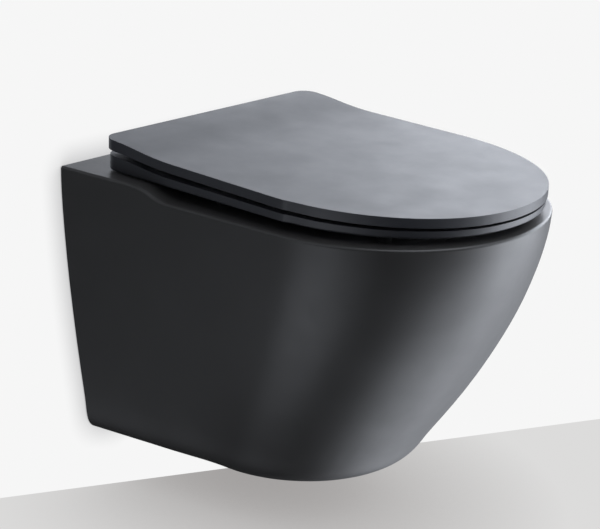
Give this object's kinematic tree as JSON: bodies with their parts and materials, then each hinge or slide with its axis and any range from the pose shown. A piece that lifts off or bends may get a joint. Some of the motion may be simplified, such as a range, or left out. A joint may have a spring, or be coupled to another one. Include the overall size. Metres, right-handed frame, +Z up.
{
  "type": "wall hung toilet",
  "caption": "Wall hung toilet: matte black ceramic pan with hidden wall brackets, lift-off soft-close seat ring and flat lid with an oval front.",
  "frame": {"origin": "on the wall plane, midway between the two wall studs that carry the pan", "axes": "+Z up; +Y out of the pan's back into the wall, so the pan reaches towards -Y; +X to the viewer's right when facing the front from the room"},
  "size_m": [0.402, 0.4878, 0.3909],
  "materials": {
    "ceramic": "matte black glaze",
    "duroplast": "satin",
    "buffer_rubber": "matte",
    "seal_rubber": "matte",
    "hinge_metal": "satin",
    "button_plastic": "satin",
    "damper_plastic": "satin",
    "zinc_steel": "zinc plated",
    "brass": "plain",
    "stainless": "satin"
  },
  "bodies": {
    "pan": {"base_gasket_left": "seal_rubber", "base_gasket_right": "seal_rubber", "base_plate_left": "stainless", "base_plate_right": "stainless", "clamp_plate_left": "zinc_steel", "clamp_plate_right": "zinc_steel", "clamp_screws": "zinc_steel", "cone_nut_left": "brass", "cone_nut_right": "brass", "expansion_bush_left": "seal_rubber", "expansion_bush_right": "seal_rubber", "hinge_post_left": "stainless", "hinge_post_right": "stainless", "inlet_seal": "seal_rubber", "pan": "ceramic", "stud_nuts": "zinc_steel", "stud_washers": "zinc_steel", "wall_bracket_left": "zinc_steel", "wall_bracket_right": "zinc_steel"},
    "hinge_carriage": {"hinge_block_left": "hinge_metal", "hinge_block_right": "hinge_metal", "damper_left": "damper_plastic", "damper_right": "damper_plastic", "latch_clip_left": "stainless", "latch_clip_right": "stainless"},
    "seat": {"seat_ring": "duroplast", "seat_damper_shaft": "stainless", "seat_hinge_pin": "stainless", "seat_buffer_front_left": "buffer_rubber", "seat_buffer_front_right": "buffer_rubber", "seat_buffer_rear_left": "buffer_rubber", "seat_buffer_rear_right": "buffer_rubber"},
    "lid": {"lid": "duroplast", "lid_damper_shaft": "stainless", "lid_hinge_pin": "stainless", "lid_buffer_front_left": "buffer_rubber", "lid_buffer_front_right": "buffer_rubber", "lid_buffer_rear_left": "buffer_rubber", "lid_buffer_rear_right": "buffer_rubber"},
    "release_button_left": {"release_button_left": "button_plastic"},
    "release_button_right": {"release_button_right": "button_plastic"}
  },
  "joints": [
    {"name": "seat_lift_off", "type": "slide", "parent": "pan", "child": "hinge_carriage", "axis": [0, 0, 1], "range_m": [0, 0.03]},
    {"name": "seat_hinge", "type": "hinge", "parent": "hinge_carriage", "child": "seat", "pos_m": [0, -0.046, 0.111], "axis": [1, 0, 0], "range_deg": [-92, 0]},
    {"name": "lid_hinge", "type": "hinge", "parent": "seat", "child": "lid", "pos_m": [0, -0.046, 0.111], "axis": [-1, 0, 0], "range_deg": [0, 94]},
    {"name": "button_press_left", "type": "slide", "parent": "hinge_carriage", "child": "release_button_left", "axis": [0, 0, -1], "range_m": [0, 0.003], "stiffness_N_per_m": 500},
    {"name": "button_press_right", "type": "slide", "parent": "hinge_carriage", "child": "release_button_right", "axis": [0, 0, -1], "range_m": [0, 0.003], "stiffness_N_per_m": 500}
  ]
}
